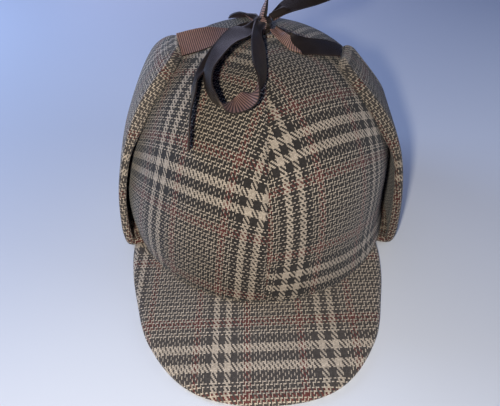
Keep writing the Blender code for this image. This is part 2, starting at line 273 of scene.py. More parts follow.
KNOT_RADIUS = 6.0 * MM  # the ribbon lies on the knot as on a ball of this size
KNOT_SIZE = 1.02  # of its solid's
KNOT_FOLDS = (0.055, 7.0, 3.0)  # height, number and slant of its folds
KNOT_WAIST = (-0.12, 0.35, 0.6, 0.16)  # depth, sway, where the sway starts, half width of the fold round it
KNOT_BAND = (1.45 * math.pi, 0.25, 0.42)  # place, slant and half width of its ribbed band, in radians

FLOOR_REACH = 3.0  # half its width
LIGHTS = {  # colour, then size, place and the place that it faces, in metres
    "lamp": ((1.0, 0.935, 0.775), 0.025, (-0.09, -0.45, 0.30), (0.0, 0.02, 0.02)),
    "window": ((0.47, 0.64, 1.0), 0.40, (-0.62, 0.30, 0.34), (0.0, 0.05, 0.02)),
    "back": ((0.79, 0.76, 1.0), 0.40, (-0.10, 0.68, 0.24), (0.0, 0.05, 0.02)),
    "wall": ((0.90, 0.95, 1.0), 0.40, (0.62, -0.12, 0.26), (0.0, 0.05, 0.02)),
}

# The photograph's camera: its aim, distance, elevation, azimuth, roll and lens.
IMAGE_WIDTH = 500
CAMERA_AIM = (-0.00729, -0.04249, 0.030)
CAMERA_DISTANCE = 0.3747
CAMERA_ELEVATION = math.radians(36.89)
CAMERA_AZIMUTH = math.radians(-2.57)
CAMERA_ROLL = math.radians(1.08)
CAMERA_FOCAL_PIXELS = 593.4


class HatCloth(PropertyGroup):
    """The cloth: its wall, the width of its yarns and its colours."""

    wall: FloatProperty(
        name="Wall", description="Thickness of the crown's cloth", default=0.0024, unit="LENGTH"
    )
    crown_warp: FloatProperty(
        name="Crown warp pitch", description="Width of one lengthwise yarn on the crown", default=0.000642,
        unit="LENGTH", precision=6,
    )
    crown_weft: FloatProperty(
        name="Crown weft pitch", description="Width of one crosswise yarn on the crown", default=0.00084,
        unit="LENGTH", precision=6,
    )
    peak_warp: FloatProperty(
        name="Peak warp pitch", description="Width of one lengthwise yarn on the peaks", default=0.0005605,
        unit="LENGTH", precision=6,
    )
    peak_weft: FloatProperty(
        name="Peak weft pitch", description="Width of one crosswise yarn on the peaks", default=0.00101,
        unit="LENGTH", precision=6,
    )
    # Painted light: the peaks' cloth is painted paler than the crown's, for the stronger light that falls on
    # the peaks.
    peak_painted_light: FloatProperty(
        name="Peak gain", description="How much paler the peaks' cloth is", default=1.34
    )
    peak_fade: FloatProperty(
        name="Peak fade", description="How much paler the peaks' dark yarns are than that", default=2.0
    )
    # Painted light and shade: the left flap's cloth is painted paler, for the blue light that falls on it,
    # and the right flap's darker, for the shade it stands in.
    flap_painted_light: FloatVectorProperty(
        name="Flap gains", description="How much paler the left and the right ear flap's cloth is",
        default=(1.28, 0.78), size=2,
    )
    flap_fade: FloatProperty(
        name="Flap fade", description="How much paler the ear flaps' dark yarns are than that", default=2.2
    )
    dark: FloatVectorProperty(
        name="Dark yarn", description="Colour of the dark yarns", default=(0.027, 0.023, 0.021),
        subtype="COLOR",
    )
    light: FloatVectorProperty(
        name="Light yarn", description="Colour of the light yarns", default=(0.385, 0.322, 0.260),
        subtype="COLOR",
    )
    red: FloatVectorProperty(
        name="Red yarn", description="Colour of the overcheck yarns", default=(0.098, 0.031, 0.027),
        subtype="COLOR",
    )


class HatSewing(PropertyGroup):
    """How the seams and edges are made up."""

    seam_depth: FloatProperty(
        name="Seam depth", description="How far the crown dips at a seam", default=0.0010, unit="LENGTH"
    )
    seam_width: FloatProperty(
        name="Seam width", description="Half width of the dip at a seam", default=0.0013, unit="LENGTH"
    )
    softness: FloatProperty(
        name="Softness", description="Height of the crown's slow waves", default=0.0005, unit="LENGTH"
    )
    peak_roll: FloatProperty(
        name="Peak roll", description="Width over which a peak's top rolls down to its edge",
        default=0.0045, unit="LENGTH",
    )


class HatRibbon(PropertyGroup):
    """The two-faced ribbon."""

    width: FloatProperty(
        name="Width", description="Width of the flat ribbon", default=0.016, unit="LENGTH"
    )
    thickness: FloatProperty(
        name="Thickness", description="Thickness of the ribbon", default=0.0005, unit="LENGTH"
    )
    satin: FloatVectorProperty(
        name="Satin face", description="Colour of the smooth face", default=(0.021, 0.0155, 0.014),
        subtype="COLOR",
    )
    copper: FloatVectorProperty(
        name="Ribbed face", description="Colour of the ribbed face", default=(0.31, 0.175, 0.145),
        subtype="COLOR",
    )


class HatStage(PropertyGroup):
    """The floor's colour and the lights."""

    floor: FloatVectorProperty(
        name="Floor", description="Colour of the floor", default=(0.72, 0.75, 0.84), subtype="COLOR"
    )
    sky: FloatVectorProperty(
        name="Surroundings", description="Colour of the light from all sides", default=(0.18, 0.37, 1.0),
        subtype="COLOR",
    )
    sky_strength: FloatProperty(
        name="Surroundings strength", description="Strength of the light from all sides", default=0.165
    )
    lamp_power: FloatProperty(
        name="Lamp", description="Power of the lamp in front", default=2.1, unit="POWER"
    )
    window_power: FloatProperty(
        name="Window", description="Power of the blue light from the back left", default=3.1, unit="POWER"
    )
    back_power: FloatProperty(
        name="Back", description="Power of the faint light from behind", default=0.54, unit="POWER"
    )
    wall_power: FloatProperty(
        name="Wall", description="Power of the pale light from the right", default=1.08, unit="POWER"
    )


# Shapes: whole arrays of points.


def along_rows(rows, places):
    """The rows of a table at places from 0 to 1, on a smooth line through all of them: between two rows a
    cubic, which leaves and arrives with half the difference of the rows on either side."""
    rows = np.asarray(rows, dtype=float)
    spot = np.clip(places, 0.0, 1.0) * (len(rows) - 1)
    start = np.minimum(spot.astype(int), len(rows) - 2)
    t = (spot - start)[..., None]
    a, b, c, d = (rows[np.clip(start + k, 0, len(rows) - 1)] for k in (-1, 0, 1, 2))
    square, cube = a - 2.5 * b + 2.0 * c - 0.5 * d, 1.5 * (b - c) + 0.5 * (d - a)
    return b + 0.5 * t * (c - a) + t**2 * square + t**3 * cube


def crowded(count, share):
    """Numbers from 0 to 1 that lie closer together at both ends: t less share times sin(2 pi t) / 2 pi."""
    t = np.linspace(0.0, 1.0, count)
    return t - share * np.sin(2.0 * np.pi * t) / (2.0 * np.pi)


def unit(vectors):
    """Vectors at length 1."""
    return vectors / np.maximum(np.linalg.norm(vectors, axis=-1, keepdims=True), 1e-12)


def run_length(points, axis):
    """The distance along a grid of points from its first row or column."""
    steps = np.linalg.norm(np.diff(points, axis=axis), axis=-1)
    return np.insert(np.cumsum(steps, axis=axis), 0, 0.0, axis=axis)


def grid_normals(points):
    """The direction square to a grid of points: the cross product of its two slopes."""
    return unit(np.cross(np.gradient(points, axis=1), np.gradient(points, axis=0)))


def dome_reach(directions):
    """How far the dome is from the middle of its rim, along each direction: a superellipsoid, so that reach
    is (out^n + up^n) to the power -1/n, with out and up as shares of its sizes and n the squareness."""
    out = np.hypot(directions[..., 0] / CROWN_HALF_WIDTH, directions[..., 1] / CROWN_HALF_LENGTH)
    up = np.abs(directions[..., 2]) / CROWN_HEIGHT
    return (out**CROWN_SQUARENESS + up**CROWN_SQUARENESS) ** (-1.0 / CROWN_SQUARENESS)


def dome_profile(rise):
    """The dome's profile at each rise, as shares of its half width and its height: the direction of the
    rise, at the length (cos^n + sin^n) to the power -1/n."""
    size = np.abs(np.cos(rise)) ** CROWN_SQUARENESS + np.abs(np.sin(rise)) ** CROWN_SQUARENESS
    size = size ** (-1.0 / CROWN_SQUARENESS)
    return size * np.cos(rise), size * np.sin(rise)


def dome_point(bearing, rise):
    """Points of the dome: the rim's ellipse at each bearing, carried up the dome's profile by each rise,
    both in degrees."""
    bearing = np.radians(bearing)
    out, up = dome_profile(np.radians(rise))
    return np.stack((
        CROWN_HALF_WIDTH * out * np.cos(bearing),
        CROWN_HALF_LENGTH * out * np.sin(bearing),
        CROWN_BASE + CROWN_HEIGHT * up,
    ), axis=-1)


def dome_normal(points):
    """The outward direction at points of the dome: the slope of its superellipsoid formula."""
    x, y = points[..., 0] / CROWN_HALF_WIDTH, points[..., 1] / CROWN_HALF_LENGTH
    out = np.maximum(np.hypot(x, y), 1e-6)
    up = np.maximum(points[..., 2] - CROWN_BASE, 0.0) / CROWN_HEIGHT
    power = CROWN_SQUARENESS - 1.0
    slope = np.stack((
        out ** (power - 1.0) * x / CROWN_HALF_WIDTH,
        out ** (power - 1.0) * y / CROWN_HALF_LENGTH,
        up**power / CROWN_HEIGHT,
    ), axis=-1)
    return unit(slope)


def crown_fullness(points):
    """How far the crown stands off its plain dome: bell curves of the bearing and the height, which fade
    out towards the rim."""
    x, y, z = np.moveaxis(points, -1, 0)
    off_rim = np.clip((z - CROWN_BASE) / FULLNESS_FADE, 0.0, 1.0)
    bearing = np.degrees(np.arctan2(y, x))
    total = np.zeros_like(x)
    for centre, height, spread, fullness in CROWN_FULLNESS:
        beside = ((bearing - centre + 180.0) % 360.0 - 180.0) / spread
        above = (z - height * MM) / FULLNESS_SPREAD
        total += fullness * MM * off_rim * np.exp(-(beside**2) - above**2)
    return total


def panel_cloth(points, bearing):
    """Where a panel's points lie on its flat cloth, in metres: across, the length of the dome's curve that
    leaves the panel's middle line at a right angle, and up, the length of the middle line to that curve."""
    bearing = math.radians(bearing)
    along = np.array((math.cos(bearing), math.sin(bearing), 0.0))
    across = np.array((-math.sin(bearing), math.cos(bearing), 0.0))
    upward = np.array((0.0, 0.0, 1.0))
    spot = points - np.array((0.0, 0.0, CROWN_BASE))
    tilt = np.arctan2(np.maximum(spot[..., 2], 0.0), spot @ along)
    turn = np.arctan2(spot @ across, np.hypot(spot @ along, spot[..., 2]))
    steps = np.linspace(0.0, 1.0, CURVE_STEPS)

    def curve_length(tilts, turns):
        """The length of the dome's curve through directions with these tilts and turns."""
        heading = np.cos(tilts)[..., None] * along + np.sin(tilts)[..., None] * upward
        direction = np.cos(turns)[..., None] * heading + np.sin(turns)[..., None] * across
        curve = direction * dome_reach(direction)[..., None]
        return np.linalg.norm(np.diff(curve, axis=-2), axis=-1).sum(axis=-1)

    sideways = curve_length(tilt[..., None] * np.ones_like(steps), turn[..., None] * steps)
    upwards = curve_length(tilt[..., None] * steps, turn[..., None] * np.zeros_like(steps))
    return np.sign(turn) * sideways, upwards


def plaid_place(across, up, grain, stripe, band, warp, weft):
    """Cloth distances as repeats of the plaid: turned by the grain's angle, moved to the first double
    stripe and band, and divided by the repeat's width and height."""
    turned = across * math.cos(grain) + up * math.sin(grain)
    raised = up * math.cos(grain) - across * math.sin(grain)
    return np.stack((
        (turned - stripe) / (YARNS_PER_REPEAT * warp),
        (raised - band) / (YARNS_PER_REPEAT * weft),
    ), axis=-1)


# Meshes from arrays.


def quads(columns, rows, first, closed=False):
    """The faces of a grid whose vertices are numbered row by row from first.  Closed joins a row's ends."""
    number = first + np.arange(rows * columns).reshape(rows, columns)
    if closed:
        number = np.concatenate((number, number[:, :1]), axis=1)
    corners = (number[:-1, :-1], number[:-1, 1:], number[1:, 1:], number[1:, :-1])
    return np.stack(corners, axis=-1).reshape(-1, 4)


def rim_quads(columns, rows, count):
    """The faces that join the border of one grid to that of a second one, which is numbered from count."""
    number = np.arange(rows * columns).reshape(rows, columns)
    border = np.concatenate((number[0, :], number[1:, -1], number[-1, -2::-1], number[-2:0:-1, 0]))
    following = np.roll(border, -1)
    return np.stack((following, border, border + count, following + count), axis=-1)


def make_piece(name, points, faces, places, materials, face_materials=None):
    """A smooth mesh piece from vertex positions, four-sided faces and each vertex's place on the cloth.
    Its doubles are merged, and the faces are turned if the volume that they enclose is negative."""
    corners = points[faces]
    volume = np.einsum("ij,ij->i", corners[:, 0], np.cross(corners[:, 1], corners[:, 2])).sum()
    volume += np.einsum("ij,ij->i", corners[:, 0], np.cross(corners[:, 2], corners[:, 3])).sum()
    if volume < 0.0:
        faces = faces[:, ::-1]
    mesh = bpy.data.meshes.new(name)
    mesh.from_pydata(points.tolist(), [], faces.tolist())
    layer = mesh.uv_layers.new(name="cloth")
    layer.data.foreach_set("uv", places[faces.ravel()].astype(np.float32).ravel())
    for finish in materials:
        mesh.materials.append(finish)
    if face_materials is not None:
        mesh.polygons.foreach_set("material_index", face_materials.astype(np.int32))
    solid = bmesh.new()
    solid.from_mesh(mesh)
    bmesh.ops.remove_doubles(solid, verts=solid.verts, dist=MERGE_DISTANCE)
    solid.to_mesh(mesh)
    solid.free()
    mesh.shade_smooth()
    mesh.set_sharp_from_angle(angle=SHARP_ANGLE)
    piece = bpy.data.objects.new(name, mesh)
    bpy.context.scene.collection.objects.link(piece)
    return piece


def make_shell(name, outer, inner, places, materials, face_materials=None):
    """A closed wall between two grids of points of the same size.  Places on the cloth come as a pair, one
    grid for each face.  Finishes for the outer face, the inner face and the edge may be given by number."""
    rows, columns = outer.shape[:2]
    count = rows * columns
    face, back = quads(columns, rows, 0), quads(columns, rows, count)[:, ::-1]
    rim = rim_quads(columns, rows, count)
    points = np.concatenate((outer.reshape(-1, 3), inner.reshape(-1, 3)))
    flat = np.concatenate([grid.reshape(-1, 2) for grid in places])
    kinds = None
    if face_materials is not None:
        kinds = np.repeat(face_materials, (len(face), len(back), len(rim)))
    return make_piece(name, points, np.concatenate((face, back, rim)), flat, materials, kinds)


# Finishes.


class Shader:
    """Short ways to add and join the nodes of one material."""

    def __init__(self, name):
        self.material = bpy.data.materials.new(name)
        self.material.use_nodes = True
        self.nodes = self.material.node_tree.nodes
        self.links = self.material.node_tree.links
        self.surface = self.nodes["Principled BSDF"]

    def put(self, socket, value):
        """Joins a socket to another one, or sets it to a number or colour."""
        if isinstance(value, bpy.types.NodeSocket):
            self.links.new(value, socket)
        else:
            socket.default_value = value

    def add(self, kind, **settings):
        """A new node with these settings."""
        node = self.nodes.new(kind)
        for key, value in settings.items():
            setattr(node, key, value)
        return node

    def math(self, operation, *values):
        """A number worked out from others."""
        node = self.add("ShaderNodeMath", operation=operation)
        for socket, value in zip(node.inputs, values):
            self.put(socket, value)
        return node.outputs[0]

    def mix(self, share, first, second):
        """A number between two numbers."""
        node = self.add("ShaderNodeMix", data_type="FLOAT")
        for socket, value in zip((node.inputs[0], node.inputs[2], node.inputs[3]), (share, first, second)):
            self.put(socket, value)
        return node.outputs[0]

    def blend(self, share, first, second, kind="MIX"):
        """A colour between two colours."""
        node = self.add("ShaderNodeMix", data_type="RGBA", blend_type=kind)
        for socket, value in zip((node.inputs[0], node.inputs[6], node.inputs[7]), (share, first, second)):
            self.put(socket, value)
        return node.outputs[2]

    def noise(self, place, scale, detail):
        """A cloudy number from 0 to 1."""
        node = self.add("ShaderNodeTexNoise")
        self.put(node.inputs["Vector"], place)
        node.inputs["Scale"].default_value = scale
        node.inputs["Detail"].default_value = detail
        return node.outputs["Fac"]

    def bump(self, height, strength, distance):
        """Makes the surface look raised by the height."""
        node = self.add("ShaderNodeBump")
        node.inputs["Strength"].default_value = strength
        node.inputs["Distance"].default_value = distance
        self.put(node.inputs["Height"], height)
        self.put(self.surface.inputs["Normal"], node.outputs[0])

    def set(self, **values):
        """Sets the surface's own sockets."""
        for key, value in values.items():
            self.surface.inputs[key.replace("_", " ")].default_value = value

    def cloth_place(self):
        """The two numbers of the piece's cloth map."""
        node = self.add("ShaderNodeSeparateXYZ")
        self.put(node.inputs[0], self.add("ShaderNodeUVMap", uv_map="cloth").outputs[0])
        return node.outputs[0], node.outputs[1]

    def body_place(self):
        """The place in the piece's own body."""
        return self.add("ShaderNodeTexCoord").outputs["Object"]

    def threads(self, place, pitch):
        """A sine wave along a place, one for each thread."""
        return self.math("SINE", self.math("MULTIPLY", place, 2.0 * math.pi / pitch))


def rgba(colour, gain=1.0):
    """A property's colour as a socket's."""
    return (colour[0] * gain, colour[1] * gain, colour[2] * gain, 1.0)


def yarn_kind(shader, place):
    """Whether the yarn at this place, counted in yarns, is light, and whether it is red.  Counted from the
    middle of the double stripe: three dark, six light, six dark, then the field, where the first and the
    third of every five yarns are light.  The dark ones among yarns 22 to 27 from the middle are red."""
    half = YARNS_PER_REPEAT / 2
    index = shader.math("FLOOR", place)
    away = shader.math("ABSOLUTE", shader.math("ADD", shader.math("WRAP", index, half, -half), 0.5))
    in_field = shader.math("GREATER_THAN", away, FIELD_START)
    in_stripe = shader.math("COMPARE", away, *LIGHT_STRIPE)
    step = shader.math("FLOORED_MODULO", shader.math("SUBTRACT", away, FIELD_START + 0.5), FIELD_PERIOD)
    in_five = shader.math("COMPARE", shader.math("ABSOLUTE", shader.math("SUBTRACT", step, 1.0)), 1.0, 0.1)
    light = shader.mix(in_field, in_stripe, in_five)
    in_overcheck = shader.math("COMPARE", away, *OVERCHECK)
    return light, shader.math("MULTIPLY", in_overcheck, shader.math("SUBTRACT", 1.0, light))


def crowded_yarn(shader, place):
    """The yarn at a place; a light yarn is crowded on each side by a dark one, for its fuzz and for painted
    shade.
    """
    light, red = yarn_kind(shader, place)
    for reach in (-CROWDING, CROWDING):
        beside, _ = yarn_kind(shader, shader.math("ADD", place, reach))
        light = shader.math("MINIMUM", light, beside)
    return light, red


def plaid(name, cloth, gain=1.0, fade=1.0):
    """Wool twill in a glen check, paler or darker by the gain, which is painted light and shade, and its
    dark yarns paler by the fade too.  The cloth map counts repeats, and each crossing of two yarns is one
    cell.  The lengthwise yarn lies on top where the sum of both yarns' numbers, modulo four, is below two.
    Each yarn's edges are darkened with painted shade."""
    shader = Shader(name)
    warp, weft = (
        shader.math("MULTIPLY", place, float(YARNS_PER_REPEAT)) for place in shader.cloth_place()
    )
    warp_index, weft_index = shader.math("FLOOR", warp), shader.math("FLOOR", weft)
    warp_light, warp_red = crowded_yarn(shader, warp)
    weft_light, weft_red = crowded_yarn(shader, weft)
    order = shader.math("FLOORED_MODULO", shader.math("ADD", warp_index, weft_index), 4.0)
    on_top = shader.math("LESS_THAN", order, 1.5)

    light = shader.mix(on_top, weft_light, warp_light)
    red = shader.mix(on_top, weft_red, warp_red)
    colour = shader.blend(light, rgba(cloth.dark, gain * fade), rgba(cloth.light, gain))
    colour = shader.blend(red, colour, rgba(cloth.red, gain))

    cell = shader.add("ShaderNodeCombineXYZ")
    shader.put(cell.inputs[0], warp_index)
    shader.put(cell.inputs[1], weft_index)
    speckle = shader.add("ShaderNodeTexWhiteNoise", noise_dimensions="3D")
    shader.put(speckle.inputs["Vector"], cell.outputs[0])
    yarn = shader.add("ShaderNodeTexWhiteNoise", noise_dimensions="1D")
    shader.put(yarn.inputs["W"], shader.mix(on_top, weft_index, shader.math("ADD", warp_index, 0.37)))
    body = shader.body_place()
    mottle = shader.noise(body, scale=38.0, detail=3.0)
    fibre = shader.noise(body, scale=5200.0, detail=2.0)

    across = shader.math("PINGPONG", shader.mix(on_top, weft, warp), 0.5)
    round_yarn = shader.math("POWER", shader.math("MULTIPLY", across, 2.0), 0.5)
    # Speckle, yarn, mottle and fibre give the yarns' own uneven tone; the round yarn's factor is painted
    # shade at each yarn's edges, in the gaps between the yarns.
    shade = shader.mix(speckle.outputs["Value"], 0.82, 1.18)
    for share, low, high in (
        (yarn.outputs["Value"], 0.86, 1.14),
        (mottle, 0.86, 1.14),
        (fibre, 0.75, 1.25),
        (round_yarn, 0.62, 1.10),
    ):
        shade = shader.math("MULTIPLY", shade, shader.mix(share, low, high))
    grey = shader.add("ShaderNodeCombineColor")
    for socket in grey.inputs[:3]:
        shader.put(socket, shade)
    colour = shader.blend(1.0, colour, grey.outputs[0], "MULTIPLY")
    shader.put(shader.surface.inputs["Base Color"], colour)
    shader.put(shader.surface.inputs["Roughness"], shader.mix(fibre, 0.82, 0.98))
    shader.set(
        Sheen_Weight=0.12, Sheen_Roughness=0.5, Sheen_Tint=(0.85, 0.9, 1.0, 1.0), Specular_IOR_Level=0.2
    )
    height = shader.math("ADD", round_yarn, shader.math("MULTIPLY", fibre, 0.5))
    shader.bump(height, strength=0.55, distance=0.18 * MM)
    return shader.material


def satin(name, ribbon):
    """The ribbon's smooth face: dark, close-woven, with threads along its length and a soft, warm shine."""
    shader = Shader(name)
    _, across = shader.cloth_place()
    threads = shader.threads(across, SATIN_THREAD)
    cloud = shader.noise(shader.body_place(), scale=160.0, detail=3.0)
    colour = shader.blend(cloud, rgba(ribbon.satin, 0.7), rgba(ribbon.satin, 1.5))
    shader.put(shader.surface.inputs["Base Color"], colour)
    shader.put(shader.surface.inputs["Roughness"], shader.mix(cloud, 0.30, 0.42))
    shader.set(
        Specular_IOR_Level=0.2, Specular_Tint=(1.0, 0.82, 0.72, 1.0), Sheen_Weight=0.02, Sheen_Roughness=0.3
    )
    height = shader.math("ADD", threads, shader.math("MULTIPLY", cloud, 2.0))
    shader.bump(height, strength=0.25, distance=0.06 * MM)
    return shader.material


def ribbed(name, ribbon):
    """The ribbon's ribbed face: fine copper ribs square to its length, with painted shade in the furrows
    between them.
    """
    shader = Shader(name)
    along, across = shader.cloth_place()
    thread = shader.threads(across, RIB_THREAD)
    raised = shader.math("MULTIPLY_ADD", shader.threads(along, RIB_PITCH), 0.5, 0.5)
    cloud = shader.noise(shader.body_place(), scale=420.0, detail=3.0)
    share = shader.math("MULTIPLY", raised, shader.mix(cloud, 0.6, 1.2))
    # Painted shade: the furrows between the ribs are painted nearly black.
    colour = shader.blend(share, rgba(ribbon.copper, 0.06), rgba(ribbon.copper, 1.25))
    shader.put(shader.surface.inputs["Base Color"], colour)
    shader.put(shader.surface.inputs["Roughness"], shader.mix(raised, 0.6, 0.34))
    shader.set(Specular_IOR_Level=0.7)
    height = shader.math("MULTIPLY_ADD", thread, 0.25, raised)
    shader.bump(height, strength=0.6, distance=0.15 * MM)
    return shader.material


# Pieces.


def crown_panel(name, cloth, sewing, finish):
    """A quarter of the crown.  Its outer face is the dome, moved along its normal: dipped by a bell curve of
    the distance to each seam, drawn in by a quarter round at the rim, and moved by slow sine waves."""
    start, middle, grain, stripe, band = PANELS[name]
    bearing, rise = np.meshgrid(start + 90.0 * crowded(*PANEL_ROUND), 90.0 * crowded(*PANEL_UP))
    outer = dome_point(bearing, rise)
    normal = dome_normal(outer)
    across, up = panel_cloth(outer, middle)
    places = plaid_place(
        across, up, math.radians(grain), stripe * MM, band * MM, cloth.crown_warp, cloth.crown_weft
    )
    x, y, z = np.moveaxis(outer, -1, 0)
    seam = sum(np.exp(-((distance / sewing.seam_width) ** 2)) for distance in (x, y))
    waves = np.sin(x / WAVE_X + 0.8) * np.sin(z / WAVE_Z + 0.4) + 0.6 * np.sin(y / WAVE_Y + z / WAVE_SLANT)
    waves *= np.minimum((z - CROWN_BASE) / WAVE_FADE, 1.0)
    low = np.clip(1.0 - (z - CROWN_BASE) / CROWN_TUCK, 0.0, 1.0)
    turned = CROWN_TUCK * (1.0 - np.sqrt(1.0 - low**2))
    shift = sewing.softness * waves - np.minimum(seam, 1.0) * sewing.seam_depth - CROWN_TUCK_DEPTH * turned
    outer = outer + normal * (shift + crown_fullness(outer))[..., None]
    inner = outer - normal * cloth.wall
    outer[0, :, 2] = inner[0, :, 2] = PEAK_THICKNESS
    return make_shell(name + "_cloth", outer, inner, (places, places), [finish])


def peak(name, cloth, sewing, finish):
    """A flat crescent.  Each line runs straight from the crown's rim to the outline.  The top rolls down to
    the edge on a quarter ellipse, and the underside rolls up to it on a smaller one."""
    turn, offset = PEAKS[name]
    inner_width, inner_length = CROWN_HALF_WIDTH - cloth.wall, CROWN_HALF_LENGTH - cloth.wall
    root_bearing = math.asin(PEAK_ROOT / inner_length)
    lines, power = PEAK_OUT
    share, out = np.meshgrid(crowded(*PEAK_ROUND), 1.0 - (1.0 - np.linspace(0.0, 1.0, lines)) ** power)
    direction = 180.0 * share
    quarter = np.minimum(direction, 180.0 - direction)
    reach = along_rows(np.reshape(PEAK_OUTLINE, (-1, 1)), quarter / 90.0)[..., 0] * MM
    edge_x = reach * np.cos(np.radians(direction)) + offset
    edge_y = -PEAK_ROOT - reach * np.sin(np.radians(direction))
    bearing = -root_bearing - (math.pi - 2.0 * root_bearing) * share
    root_x, root_y = inner_width * np.cos(bearing), inner_length * np.sin(bearing)
    x, y = root_x + (edge_x - root_x) * out, root_y + (edge_y - root_y) * out
    gap = np.hypot(edge_x - x, edge_y - y)

    def rolled(width):
        """From 0 at the edge to 1 from this width on, along a quarter circle."""
        near = np.clip(1.0 - gap / width, 0.0, 1.0)
        return np.sqrt(1.0 - near**2)

    top = PEAK_EDGE + (PEAK_THICKNESS - PEAK_EDGE) * rolled(sewing.peak_roll)
    underside = PEAK_EDGE * (1.0 - rolled(PEAK_UNDER_ROLL))
    outer, inner = (np.stack((turn * x, turn * y, z), axis=-1) for z in (top, underside))
    top_run, under_run = run_length(outer, 0), run_length(inner, 0)
    line_x, line_y = edge_x - root_x, edge_y - root_y
    length = np.hypot(line_x, line_y)
    places = []
    for rolled_out in (top_run / length, (top_run[-1:] + under_run[-1:] - under_run) / length):
        across = root_x + line_x * rolled_out - PEAK_STRIPE[0]
        across = across * (1.0 - PEAK_SPREAD * across)
        up = root_y + line_y * rolled_out - PEAK_STRIPE[1] - PEAK_SKEW * across
        places.append(plaid_place(across, up, PEAK_GRAIN, 0.0, 0.0, cloth.peak_warp, cloth.peak_weft))
    return make_shell(name + "_cloth", outer, inner, places, [finish])


def ear_flap(name, cloth, finish):
    """A tongue of doubled cloth.  Its outer face follows the table's rows up the dome, standing off it by
    middle + tilt a + hollow a^2 with a from -1 to 1 across; its thickness falls to nothing at the edges on
    half circles.  High up, the inner face swells along the front edge, on a bell curve, until it meets the
    crown, and so it does along the tip."""
    across, place = np.meshgrid(2.0 * crowded(*FLAP_ACROSS) - 1.0, crowded(*FLAP_ALONG))
    columns = np.moveaxis(along_rows(FLAP_ROWS[name], place), -1, 0)
    rise, drop, front, back, front_off, middle_off, back_off = columns
    y = (back - front + across * (back + front)) / 2.0
    out = dome_profile(np.radians(rise))[0]
    points = dome_point(np.degrees(np.arcsin(y * MM / (CROWN_HALF_LENGTH * out))), rise)
    points[..., 0] *= FLAP_SIDES[name]
    tilt, hollow = (back_off - front_off) / 2.0, (back_off + front_off) / 2.0 - middle_off
    outward = dome_normal(points)
    off = (middle_off + tilt * across + hollow * across**2) * MM
    room = np.maximum(off - FLAP_THICKNESS - FLAP_CLEARANCE - crown_fullness(points), 0.0)
    points = points + outward * off[..., None]
    points[..., 2] = np.maximum(points[..., 2] - drop * MM, 0.0)

    normal = grid_normals(points)
    normal *= np.sign((normal * outward).sum())
    half = FLAP_THICKNESS / 2.0
    middle = points - normal * half
    from_front, along = run_length(middle, 1), run_length(middle, 0)
    to_edge = np.minimum(from_front, from_front[:, -1:] - from_front)
    to_tip = along[-1:] - along
    fullness = np.ones_like(to_edge)
    for distance in (to_edge, to_tip):
        near = np.clip(1.0 - distance / half, 0.0, 1.0)
        fullness = fullness * np.sqrt(1.0 - near**2)
    from_stitch = np.minimum(to_edge, to_tip) - STITCH_INSET
    stitch = STITCH_DEPTH * np.exp(-((from_stitch / STITCH_WIDTH) ** 2))
    high = np.clip((rise - SWELL_RISE[0]) / SWELL_RISE[1], 0.0, 1.0)
    high = SWELL_LOW + (1.0 - SWELL_LOW) * high * high * (3.0 - 2.0 * high)
    near_rim = np.exp(-((np.minimum(from_front, to_tip) / SWELL_REACH) ** 2))
    swell = room * high * near_rim * np.sqrt(fullness)
    outer = middle + normal * (half * fullness - stitch)[..., None]
    inner = middle - normal * (half * fullness - stitch + swell)[..., None]

    column = FLAP_ACROSS[0] // 2
    up = run_length(outer, 0)[:, column : column + 1] * np.ones_like(across)
    places = []
    for face, turn in ((outer, 1.0), (inner, -1.0)):
        right = turn * run_length(face, 1) - front * MM
        places.append(plaid_place(right, up, 0.0, 0.0, FLAP_BAND, cloth.crown_warp, cloth.crown_weft))
    return make_shell(name + "_cloth", outer, inner, places, [finish])


def ribbon_strip(name, ribbon, finishes):
    """A thin two-faced strip along its run.  Across it the strip lies on the width direction, lightly
    cupped, and where the run is narrower than the pleated width it stands in pleats: a cosine wave whose
    slopes, taken as straight, add up to that width.  Beyond a crease the strip runs back over itself, on a
    hyperbola."""
    x, y, z, bearing, rise, wide = np.transpose(RIBBON_RUNS[name])
    bearing, rise = np.radians(bearing), np.radians(rise)
    level = np.cos(rise)
    stations = np.column_stack((
        x * MM, y * MM, z * MM, level * np.cos(bearing), level * np.sin(bearing), np.sin(rise), wide * MM
    ))
    steps = RIBBON_STEPS * (len(stations) - 1)
    share, across = np.meshgrid(np.linspace(0.0, 1.0, steps + 1), np.linspace(-1.0, 1.0, RIBBON_ACROSS))
    rows = along_rows(stations, share)
    line, slant, wide = rows[..., :3], rows[..., 3:6], rows[..., 6]
    before, after = (along_rows(stations, share + step) for step in (-RIBBON_GLANCE, RIBBON_GLANCE))
    ahead = unit(after[..., :3] - before[..., :3])
    width = unit(slant - ahead * (slant * ahead).sum(axis=-1, keepdims=True))
    normal = np.cross(ahead, width)
    spare = np.maximum((PLEATED_WIDTH * ribbon.width) ** 2 - wide**2, 0.0)
    fold = np.sqrt(spare) / (4.0 * PLEATS) * np.cos(np.pi * PLEATS * across)
    cup = RIBBON_CUP * ribbon.width * (across**2 - 0.5)
    spot = across
    if name in RIBBON_CREASES:
        crease = np.interp(share, *RIBBON_CREASES[name])
        bend = np.hypot(across - crease, CREASE_ROUND)
        spot = crease - bend
        fold = fold + CREASE_LIFT * (1.0 + (across - crease) / bend) / 2.0
    middle = line + width * (spot * wide / 2.0)[..., None] + normal * (fold - cup)[..., None]
    facing = grid_normals(middle)
    facing *= np.sign((facing * normal).sum())
    extra, reach = SELVEDGE
    selvedge = 1.0 + extra * np.exp(-(((1.0 - np.abs(across)) / reach) ** 2))
    wall = (ribbon.thickness / 2.0 * selvedge)[..., None]
    outer, inner = middle + facing * wall, middle - facing * wall
    row = RIBBON_ACROSS // 2
    lengthwise = run_length(middle[row : row + 1], 1) * np.ones_like(across)
    places = np.stack((lengthwise, across * ribbon.width / 2.0), axis=-1)
    return make_shell(name + "_strip", outer, inner, (places, places), finishes, (0, 1, 0))


